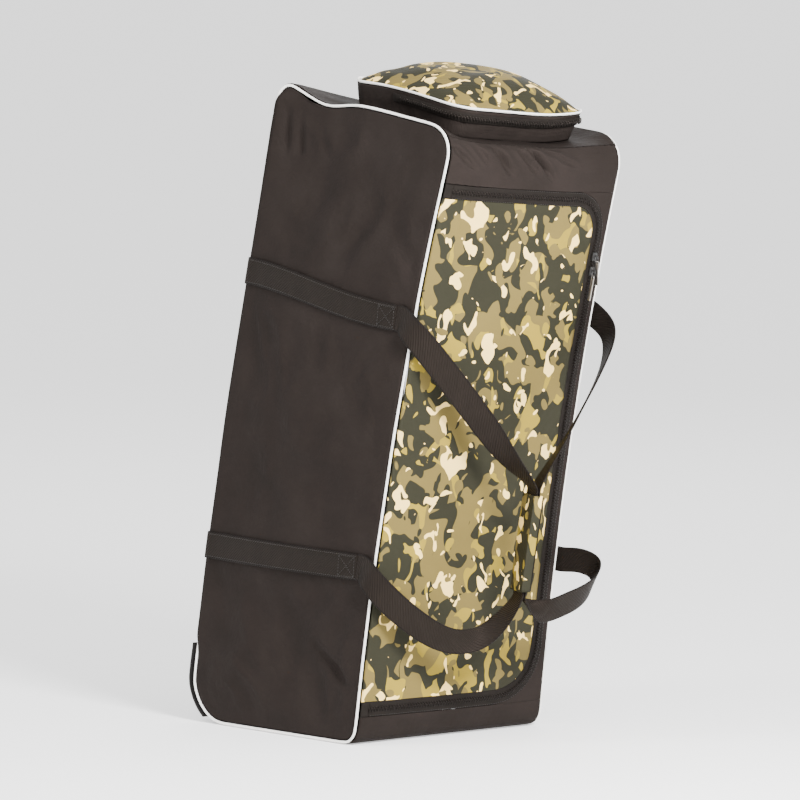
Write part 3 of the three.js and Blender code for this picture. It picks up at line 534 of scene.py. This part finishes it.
# The teeth and the stitches that hold the tape are made along the zip's own rings
front = Vector((0, -1, 0))


def starts_zip(co):
    """True for the end of the main zip at the top left."""
    return co.z > 0.7 and co.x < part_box("zip_end_upper")[1].x + 0.004


zip_rings = rings_from("main_zip", starts_zip)
sewn_piece(smoothed(merged_copy("main_zip"), 1), "main_zip_tape", zip_tape,
           ["main_zip"], 1)
teeth = bmesh.new()
coil_teeth(teeth, zip_rings, lambda place: front, 0.0024)
sewn_piece(teeth, "main_zip_coil", zip_coil)


def make_thread(name, shade):
    # Bonded polyester sewing thread, satin, in stitches 3 mm long.
    material, tree = start_material(name)
    place = add_node(tree, "TexCoord", {}).outputs["Object"]
    twist = add_node(tree, "TexNoise", {"Vector": place, "Scale": 900, "Detail": 2})
    colour = add_node(tree, "Mix", {0: twist.outputs["Fac"], 6: hex_to_linear(shade),
                      7: hex_to_linear("#1f1b19")}, data_type="RGBA")
    shader = add_node(tree, "BsdfPrincipled", {"Base Color": colour.outputs[2],
                      "Roughness": 0.5})
    add_node(tree, "OutputMaterial", {"Surface": shader.outputs[0]})
    return material


black_thread = make_thread("black sewing thread", "#151210")


def beside(rings, outward, shift, lift):
    """A line beside the middle of a strip, shifted across it and lifted off it."""
    middles = [sum(ring, Vector()) / len(ring) for ring in rings]
    line = []
    for i, middle in enumerate(middles):
        along = middles[min(i + 1, len(middles) - 1)] - middles[max(i - 1, 0)]
        across = along.cross(outward).normalized()
        line.append(middle + across * shift + outward * lift)
    return line


zip_stitches = bmesh.new()
for shift in (-0.0092, 0.0092):
    stitch_row(zip_stitches, beside(zip_rings, front, shift, 0.0006), front)
sewn_piece(zip_stitches, "main_zip_stitches", black_thread)

# End pocket
# A zipped pocket stands on the top end: a wall of black polyester under a domed lid of the
# camouflage cloth, with white piping round the rim and a zip just below it.
pocket_wall = smoothed(merged_copy("pocket_wall"), 3)
pocket_low, pocket_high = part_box("pocket_wall")
pocket_middle = (pocket_low + pocket_high) / 2
for vert in pocket_wall.verts:
    rise = (vert.co.z - pocket_low.z) / (pocket_high.z - pocket_low.z)
    outward = (vert.co - pocket_middle)
    outward.z = 0
    sag = math.sin(math.pi * min(max(rise, 0), 1)) ** 2
    crumple = noise.noise(Vector((vert.co.x * 26, vert.co.y * 26, vert.co.z * 60)))
    pleat = 1 - 2 * abs(noise.noise(Vector((vert.co.x * 75, vert.co.y * 75, vert.co.z * 12))))
    vert.co += outward.normalized() * sag * (0.0022 * crumple + 0.0016 * pleat - 0.0022)
sewn_piece(pocket_wall, "pocket_side", black_polyester, ["pocket_wall"])

lid = smoothed(merged_copy("pocket_lid"), 2)
LID_FOLDS = [((0, -90, 955), (80, -60, 940), 16, 3), ((-40, 20, 960), (30, -20, 970), 18, 3)]
settle_cloth(lid, (0, 0, 1), rim_spots("pocket_lid"), 0.004, 0.04, LID_FOLDS, 17)
sewn_piece(lid, "pocket_lid_cloth", camouflage, ["pocket_lid"], 1)
sewn_piece(round_piping("pocket_piping", -0.0003), "pocket_piping_cord", white_piping,
           ["pocket_piping"])
sewn_piece(smoothed(merged_copy("pocket_zip"), 2), "pocket_zip_tape", zip_tape,
           ["pocket_zip"])


def out_of_pocket(place):
    """The level way out from the pocket's middle."""
    away = place - pocket_middle
    return Vector((away.x, away.y, 0)).normalized()


# The six corners of its left end are the ones on the left that lie furthest back
left_corners = sorted({round(vert.co.y, 5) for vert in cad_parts["pocket_zip"].data.vertices
                       if vert.co.x < pocket_middle.x})
left_end = left_corners[-6]


def starts_pocket_zip(co):
    """True for the left end of the pocket's zip."""
    return co.x < pocket_middle.x and co.y > left_end - 0.0001


pocket_zip_rings = rings_from("pocket_zip", starts_pocket_zip)
pocket_teeth = bmesh.new()
coil_teeth(pocket_teeth, pocket_zip_rings, out_of_pocket, 0.0024)
sewn_piece(pocket_teeth, "pocket_zip_coil", zip_coil)

# Straps and handles
# Two bands of 38 mm black webbing are sewn flat round the bag, and run on from its front
# corners as the two carrying handles, which meet in the grip.


def make_webbing(name, shades):
    # Woven polyester webbing: slanting ribs 1.2 mm apart, drawn at 2.6 mm so
    # that they show, firm edges and a dull shine.
    material, tree = start_material(name)
    place = add_node(tree, "UVMap", {}, uv_map="along").outputs[0]
    ribs = add_node(tree, "TexWave", {"Vector": place, "Scale": math.pi / 10 / 0.0026,
                    "Distortion": 0.4}, bands_direction="DIAGONAL")
    split = add_node(tree, "SeparateXYZ", {0: place})
    edge = add_node(tree, "Math", {0: split.outputs[0]}, operation="ABSOLUTE")
    selvedge = add_node(tree, "MapRange", {"Value": edge.outputs[0], "From Min": 0.0165,
                        "From Max": 0.0175})
    patches = add_node(tree, "TexNoise", {"Vector": place, "Scale": 40, "Detail": 4})
    colour = add_node(tree, "Mix", {0: patches.outputs["Fac"], 6: hex_to_linear(shades[0]),
                      7: hex_to_linear(shades[1])}, data_type="RGBA")
    dark = add_node(tree, "Mix", {0: selvedge.outputs[0], 6: colour.outputs[2],
                    7: hex_to_linear("#110f0e")}, data_type="RGBA")
    bump = add_node(tree, "Bump", {"Strength": 0.8, "Distance": 0.0006,
                    "Height": ribs.outputs["Fac"]})
    shader = add_node(tree, "BsdfPrincipled", {"Base Color": dark.outputs[2],
                      "Roughness": 0.6, "IOR": 1.3, "Specular IOR Level": 0.25,
                      "Specular Tint": hex_to_linear("#ffe9dc"), "Normal": bump.outputs[0]})
    add_node(tree, "OutputMaterial", {"Surface": shader.outputs[0]})
    return material


webbing = make_webbing("black ribbed webbing", ("#120f0d", "#1b1714"))


def near_node(node, distance):
    """A test for places that lie within a distance of another node's corners."""
    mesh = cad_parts[node].data
    tree = kdtree.KDTree(len(mesh.vertices))
    for i, vert in enumerate(mesh.vertices):
        tree.insert(vert.co, i)
    tree.balance()
    return lambda co: tree.find(co)[2] < distance


def woven_strap(node, rings, name):
    """The CAD strap with its width and run as a UV map in metres, and rounded edges."""
    bm = merged_copy(node)
    tree = kdtree.KDTree(sum(len(ring) for ring in rings))
    spots = []
    run = 0
    for i, ring in enumerate(rings):
        middle = sum(ring, Vector()) / len(ring)
        if i:
            run += (middle - last).length
        last = middle
        far = max(ring, key=lambda spot: (spot - middle).length)
        if i and (far - middle).dot(across) < 0:
            far = middle * 2 - far
        across = (far - middle).normalized()
        for spot in ring:
            tree.insert(spot, len(spots))
            spots.append(((spot - middle).dot(across), run))
    tree.balance()
    uv = bm.loops.layers.uv.new("along")
    for face in bm.faces:
        for loop in face.loops:
            loop[uv].uv = spots[tree.find(loop.vert.co)[1]]
    crease = bm.edges.layers.float["crease_edge"]
    for edge in bm.edges:
        edge[crease] *= 0.8
    return sewn_piece(smoothed(bm, 2), name, webbing, [node], 1)


STRAPS = [
    ("strap_band_upper", "handle_left", "woven_band_upper", lambda co: co.z > 0.5),
    ("strap_band_lower", "handle_left", "woven_band_lower", lambda co: co.z < 0.5),
    ("handle_left", "strap_band_upper", "woven_handle_left", lambda co: co.x < 0),
    ("handle_right", "strap_band_upper", "woven_handle_right", lambda co: co.x > 0),
]
STRAP_WIDTH = 0.038
BAG_MIDDLE = Vector((0.02, 0.02, 0))


def stitch_band(bm, rings, shift):
    """A row of stitches along a band's outer face, shifted up or down from its middle."""
    middles = [sum(ring, Vector()) / len(ring) for ring in rings]
    for i, (first, second) in enumerate(zip(middles, middles[1:])):
        along = (second - first).normalized()
        far = max(rings[i], key=lambda spot: (spot - first).z) - first
        across = (far - along * far.dot(along)).normalized()
        outward = along.cross(across)
        away = first - BAG_MIDDLE
        if outward.x * away.x + outward.y * away.y < 0:
            outward.negate()
        lift = max((spot - first).dot(outward) for spot in rings[i])
        offset = across * shift + outward * lift
        stitch_row(bm, [first + offset, second + offset], outward)


def box_stitch(bm, rings, length):
    """A stitched box with a cross in it on a band's first stretch, which holds the handle."""
    start = sum(rings[0], Vector()) / len(rings[0])
    later = sum(rings[1], Vector()) / len(rings[1])
    along = (later - start).normalized()
    far = max(rings[0], key=lambda spot: (spot - start).z) - start
    across = (far - along * far.dot(along)).normalized() * STRAP_WIDTH * 0.38
    outward = along.cross(across).normalized()
    away = start - BAG_MIDDLE
    if outward.x * away.x + outward.y * away.y < 0:
        outward.negate()
    lift = max((spot - start).dot(outward) for spot in rings[0])
    near, past = (start + outward * lift + along * run for run in (0.004, length))
    corners = [near - across, past - across, past + across, near + across]
    for first, second in ((0, 1), (1, 2), (2, 3), (3, 0), (0, 2), (1, 3)):
        stitch_row(bm, [corners[first], corners[second]], outward)


strap_stitches = bmesh.new()
for node, neighbour, name, place_test in STRAPS:
    touches = near_node(neighbour, 0.0012)
    rings = rings_from(node, lambda co: touches(co) and place_test(co))
    woven_strap(node, rings, name)
    # Two rows of stitches run along each band and hold it to the bag
    if "band" in name:
        for share in (-0.42, 0.42):
            stitch_band(strap_stitches, rings, share * STRAP_WIDTH)
        box_stitch(strap_stitches, rings, 0.036)
        box_stitch(strap_stitches, rings[::-1], 0.036)
sewn_piece(strap_stitches, "strap_stitches", black_thread)
for place in ("upper", "lower"):
    sewn_piece(smoothed(merged_copy("zip_end_" + place), 2), "zip_stop_" + place, zip_tape,
               ["zip_end_" + place])

# Grip
# A wrap of camouflage cloth with thin padding closes round both handles, and overlaps itself
# in a dark bound edge along one side.
grip = merged_copy("grip_wrap")
grip_cloth = sewn_piece(smoothed(grip, 2), "grip_cloth", camouflage,
                        ["grip_wrap"], 1)
grip_low, grip_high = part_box("grip_wrap")


def grip_edge(near, inset):
    """A line up the grip's left or right edge, seen from the front, with its outward way."""
    spots = []
    corners = [vert.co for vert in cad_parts["grip_wrap"].data.vertices]
    levels = sorted({round(co.z, 3) for co in corners})
    for level in (levels[0], levels[-1]):
        ring = [co for co in corners if abs(co.z - level) < 0.006]
        spots.append(max(ring, key=lambda co: near.dot(co)))
    return [spots[0].lerp(spots[1], share) + Vector(near) * -inset for share in (0.01, 0.99)]


grip_thread = make_thread("tan sewing thread", "#a2915a")
grip_stitches = bmesh.new()
for near in (Vector((-0.3, -0.95, 0)), Vector((0.5, -0.86, 0))):
    stitch_row(grip_stitches, grip_edge(near, 0.0002), near)
sewn_piece(grip_stitches, "grip_stitches", grip_thread)
binding = bmesh.new()
foot, head = grip_edge(Vector((0.8, -0.6, 0)), 0.0002)
upright = (head - foot).to_track_quat("Z", "Y").to_matrix().to_4x4()
lie = Matrix.Translation((foot + head) / 2) @ upright
bmesh.ops.create_cone(binding, cap_ends=True, segments=10, radius1=0.0009, radius2=0.0009,
                      depth=(head - foot).length, matrix=lie)
sewn_piece(binding, "grip_binding", zip_tape)

# Zip sliders and pulls
# Die-cast sliders painted black, each with a wire ring and a flat pull of pale plated metal.


def make_metal(name, shade, metallic, roughness):
    material, tree = start_material(name)
    place = add_node(tree, "TexCoord", {}).outputs["Object"]
    scratches = add_node(tree, "TexNoise", {"Vector": place, "Scale": 300, "Detail": 4})
    gloss = add_node(tree, "MapRange", {"Value": scratches.outputs["Fac"],
                     "To Min": roughness - 0.08, "To Max": roughness + 0.1})
    bump = add_node(tree, "Bump", {"Strength": 0.1, "Distance": 0.0002,
                    "Height": scratches.outputs["Fac"]})
    shader = add_node(tree, "BsdfPrincipled", {"Base Color": hex_to_linear(shade),
                      "Metallic": metallic, "Roughness": gloss.outputs[0],
                      "Normal": bump.outputs[0]})
    add_node(tree, "OutputMaterial", {"Surface": shader.outputs[0]})
    return material


# Black enamel over zinc, and zinc with a satin nickel plate
black_enamel = make_metal("black enamelled zinc", "#1d1c1c", 0.0, 0.35)
nickel_plate = make_metal("satin nickel plate", "#c9c2ba", 1.0, 0.3)


def detailed_metal(node, name, material, bevel):
    """The CAD metal piece with its edges rounded."""
    bm = merged_copy(node)
    bmesh.ops.dissolve_limit(bm, angle_limit=0.02, verts=bm.verts[:], edges=bm.edges[:])
    sharp = [edge for edge in bm.edges if edge.calc_face_angle(0) > 0.8]
    if bevel:
        bmesh.ops.bevel(bm, geom=sharp, offset=bevel, segments=2, profile=0.5,
                        affect="EDGES", material=-1, clamp_overlap=True)
    sewn_piece(bm, name, material, [node])


for place in ("upper", "lower"):
    detailed_metal("zip_slider_" + place, "slider_" + place, black_enamel, 0.0004)
    detailed_metal("pull_tab_" + place, "pull_" + place, nickel_plate, 0.0002)
    ring_wire = merged_copy("pull_ring_" + place)
    sewn_piece(ring_wire, "ring_" + place, black_enamel,
               ["pull_ring_" + place], 2)

# Floor, light and camera
floor_mesh = bpy.data.meshes.new("floor")
floor_bm = bmesh.new()
bmesh.ops.create_circle(floor_bm, cap_ends=True, segments=64, radius=60)
floor_bm.to_mesh(floor_mesh)
floor_bm.free()
floor = bpy.data.objects.new("floor", floor_mesh)
bpy.context.scene.collection.objects.link(floor)


def make_floor_paint():
    material, tree = start_material("pale studio floor")
    shader = add_node(tree, "BsdfPrincipled", {"Base Color": hex_to_linear("#f0f0f0"),
                      "Roughness": 0.9, "Specular IOR Level": 0.1,
                      "Emission Color": hex_to_linear("#ffffff"),
                      "Emission Strength": 0.62})
    add_node(tree, "OutputMaterial", {"Surface": shader.outputs[0]})
    return material


floor_mesh.materials.append(make_floor_paint())

world = bpy.data.worlds.new("studio")
world.use_nodes = True
sky = world.node_tree
sky_way = add_node(sky, "SeparateXYZ", {0: add_node(sky, "TexCoord", {}).outputs["Generated"]})
sky_light = add_node(sky, "MapRange", {"Value": sky_way.outputs[2], "To Min": 2.2, "To Max": 0.8})
sky.links.new(sky_light.outputs[0], sky.nodes["Background"].inputs["Strength"])
sky.nodes["Background"].inputs["Color"].default_value = hex_to_linear("#ffffff")
bpy.context.scene.world = world

LIGHTS = [
    ("key", (-0.55, -2.2, 1.8), 0.7, 200),
    ("side", (-1.8, 0.6, 2.6), 0.9, 35),
    ("rim", (2.4, 2.2, 2.4), 1.4, 35),
]
target = Vector((-0.1315, -0.1116, 0.489))
for name, place, size, power in LIGHTS:
    lamp = bpy.data.lights.new(name, "AREA")
    lamp.size = size
    lamp.energy = power
    light = bpy.data.objects.new(name, lamp)
    light.location = place
    light.rotation_euler = (target - Vector(place)).to_track_quat("-Z", "Y").to_euler()
    bpy.context.scene.collection.objects.link(light)

CAMERA_TURN = math.radians(-40)
CAMERA_RISE = math.radians(6.2)
CAMERA_DISTANCE = 20
FRAME_WIDTH = 1.136
back = Vector((math.sin(CAMERA_TURN) * math.cos(CAMERA_RISE),
               -math.cos(CAMERA_TURN) * math.cos(CAMERA_RISE), math.sin(CAMERA_RISE)))
lens = bpy.data.cameras.new("camera")
lens.sensor_width = 36
lens.lens = 36 * CAMERA_DISTANCE / FRAME_WIDTH
lens.clip_end = 200
camera = bpy.data.objects.new("camera", lens)
camera.location = target + back * CAMERA_DISTANCE
camera.rotation_euler = (-back).to_track_quat("-Z", "Y").to_euler()
bpy.context.scene.collection.objects.link(camera)
bpy.context.scene.camera = camera
